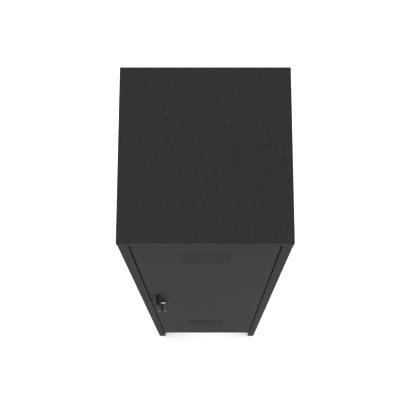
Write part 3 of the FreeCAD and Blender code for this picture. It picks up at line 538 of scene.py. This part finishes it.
def buildKeyRing():
    # one flat wire goes almost twice round, the second turn behind the first:
    # path = centre + R (cos t, sin t) in XZ, while Y eases from one turn's place to the other's.
    # The wire's two ends close like half an ellipse
    low, high = boxMm("key_ring")
    centre, wire = (low + high) / 2, splitRing["wire"]
    big = (high[0] - low[0]) / 2 - 2 * wire
    along = np.linspace(0, 1, splitRing["steps"])[:, None]
    t = pi / 2 + 2 * pi * splitRing["turns"] * along
    swap = 2 / (1 + np.exp(-splitRing["swapSpeed"] * (along - 0.5))) - 1
    fromEnd = np.clip((np.abs(2 * along - 1) - 1) * splitRing["endShare"] + 1, 0, 1)
    thick = wire * np.sqrt(1 - fromEnd ** 2)
    a = np.linspace(0, 2 * pi, splitRing["around"], endpoint=False)[None, :]
    r = big + 2 * thick * np.cos(a)
    points = np.stack([centre[0] + r * np.cos(t), centre[1] + wire * swap + thick * np.sin(a),
                       centre[2] + r * np.sin(t)], axis=-1).reshape(-1, 3)
    standFor("key_ring", "keySplitRing", points, gridFaces(len(t), a.size, closed=True))


# small parts seen with the door open
buffer = {"pad": 4.5, "crown": 0.8, "crownTo": 0.85, "crownRows": 8, "side": 0.9, "stem": 1.5,
          "head": 2.6, "flange": 1.0, "headThick": 1.5, "bevel": 0.3, "aboveLock": 90.0,
          "around": 40}


def buildBuffers():
    # domed rubber pads: the front is a shallow crown that falls with the cube of the radius, and
    # the stem passes the flange to a small head
    low, high = boxMm("door_buffers")
    front, back = low[1], high[1]
    flangeBack = back - buffer["headThick"]
    flangeFront = flangeBack - buffer["flange"]
    pad, crown, bevel, head = (buffer[word] for word in ("pad", "crown", "bevel", "head"))
    shares = np.linspace(0, buffer["crownTo"], buffer["crownRows"])
    profile = [(pad * k, front + crown * k ** 3) for k in shares]
    profile += [(pad, front + crown + buffer["side"]), (pad, flangeFront - bevel)]
    profile += [(pad - bevel, flangeFront), (buffer["stem"], flangeFront), (buffer["stem"], flangeBack)]
    profile += [(head, flangeBack), (head, back - 2 * bevel), (head - 2 * bevel, back), (0, back)]
    places = [low[2] + pad, middleOf("lock_barrel")[1] + buffer["aboveLock"], high[2] - pad]
    x = middleOf("door_buffers")[0]
    parts = [lathe(profile, (x, z), buffer["around"]) for z in places]
    standFor("door_buffers", "doorBuffers", *stackParts(*parts))


# pan head screws: the recess is given by the half width of an arm, the width of its sloping walls,
# and its reach as a share of the head
screws = {
    "handle_screws": {"piece": "handleScrews", "count": 2, "head": 4.0, "shank": 2.0, "thick": 2.5},
    "cam_screw": {"piece": "camScrew", "count": 1, "head": 4.5, "shank": 2.0, "thick": 3.0},
}
recess = {"half": 0.62, "wall": 0.25, "reach": 0.55, "end": 0.4, "deep": 1.0, "dome": 0.9,
          "domeRows": 20, "around": 72}


def buildScrews():
    # the dome falls with the square of the radius, and the recess goes down where a point is near
    # either of two crossing lines
    for node, size in screws.items():
        low, high = boxMm(node)
        head, shank, top = size["head"], size["shank"], high[1]
        under = top - size["thick"]
        shares = np.linspace(0, 1, recess["domeRows"])
        profile = [(head * k, top - recess["dome"] * k ** 2) for k in shares]
        profile += [(head, under), (shank, under), (shank, low[1] + shank), (0, low[1])]
        parts = []
        for z in np.linspace(low[2] + head, high[2] - head, size["count"]):
            x = (low[0] + high[0]) / 2
            points, faces = lathe(profile, (x, z), recess["around"])
            near, far = np.sort(np.abs(points[:, [0, 2]] - (x, z)), axis=1).T
            arm = np.clip((recess["half"] - near) / recess["wall"], 0, 1)
            arm = arm * np.clip((recess["reach"] * head - far) / recess["end"], 0, 1)
            points[:, 1] -= recess["deep"] * arm * (points[:, 1] > top - recess["dome"])
            parts.append((points, faces))
        standFor(node, size["piece"], *stackParts(*parts))


def coatFrame():
    # every node of the frame takes the material of its slot in the record
    for part in frame["record"]["subparts"]:
        mesh = nodes[part["node"]].data
        mesh.materials.clear()
        mesh.materials.append(materials[part["material_slot"]])


coatFrame()
print("materials on", len(nodes), "nodes")
buildDoor()
print("door skin built")
buildHandle()
buildLockRim()
print("handle and lock built")
buildKeyBow()
buildKeyRing()
print("key and ring built")
buildBuffers()
buildScrews()
print("buffers and screws built")


# the floor and the light: a bright even sky, with one large softbox in front and one at each side
studio = {"floorSide": 9.0, "floorLines": 7, "sky": 1.22}

softboxes = {
    "frontSoftbox": {"place": (-0.7, -2.6, 5.2), "aim": (0, -0.6, 0), "side": 3.0, "power": 60.0},
    "rightSoftbox": {"place": (3.2, 0.7, 1.5), "aim": (0, 0, 0.9), "side": 2.0, "power": 95.0},
    "leftSoftbox": {"place": (-3.2, 0.9, 1.1), "aim": (0, 0, 0.9), "side": 1.6, "power": 45.0},
}


def layFloor():
    # a very wide flat sheet z = 0, its tone set by a noise so faint that it reads as plain
    side = studio["floorSide"]
    count = studio["floorLines"]
    places = np.linspace(-side, side, count)
    u, v = np.meshgrid(places, places)
    points = np.stack([u.ravel(), v.ravel(), np.zeros(u.size)], axis=1)
    mat, tree, shader, coords = newMaterial("paleStudioFloor")
    cloud = addNode(tree, "ShaderNodeTexNoise", {"Vector": coords}, Scale=1.5)
    mixTones(tree, shader, cloud.outputs[0], "fbfbfb", "fefefe")
    setShader(shader, Roughness=0.9, Specular_IOR_Level=0.1)
    newPiece("studioFloor", points, gridFaces(count, count), mat)


def hangLight(name, place, aim, side, power):
    lamp = bpy.data.lights.new(name, "AREA")
    lamp.shape = "SQUARE"
    lamp.size = side
    lamp.energy = power
    light = bpy.data.objects.new(name, lamp)
    bpy.context.scene.collection.objects.link(light)
    light.location = place
    toward = np.array(aim) - np.array(place)
    flat = np.hypot(toward[0], toward[1])
    light.rotation_euler = (np.arctan2(flat, -toward[2]), 0, np.arctan2(-toward[0], toward[1]))


def lightStudio():
    world = bpy.data.worlds.new("studioSky")
    bpy.context.scene.world = world
    world.use_nodes = True
    sky = world.node_tree.nodes["Background"]
    sky.inputs["Color"].default_value = linear("ffffff")
    sky.inputs["Strength"].default_value = studio["sky"]
    for name, box in softboxes.items():
        hangLight(name, **box)


layFloor()
lightStudio()
print("studio lit")
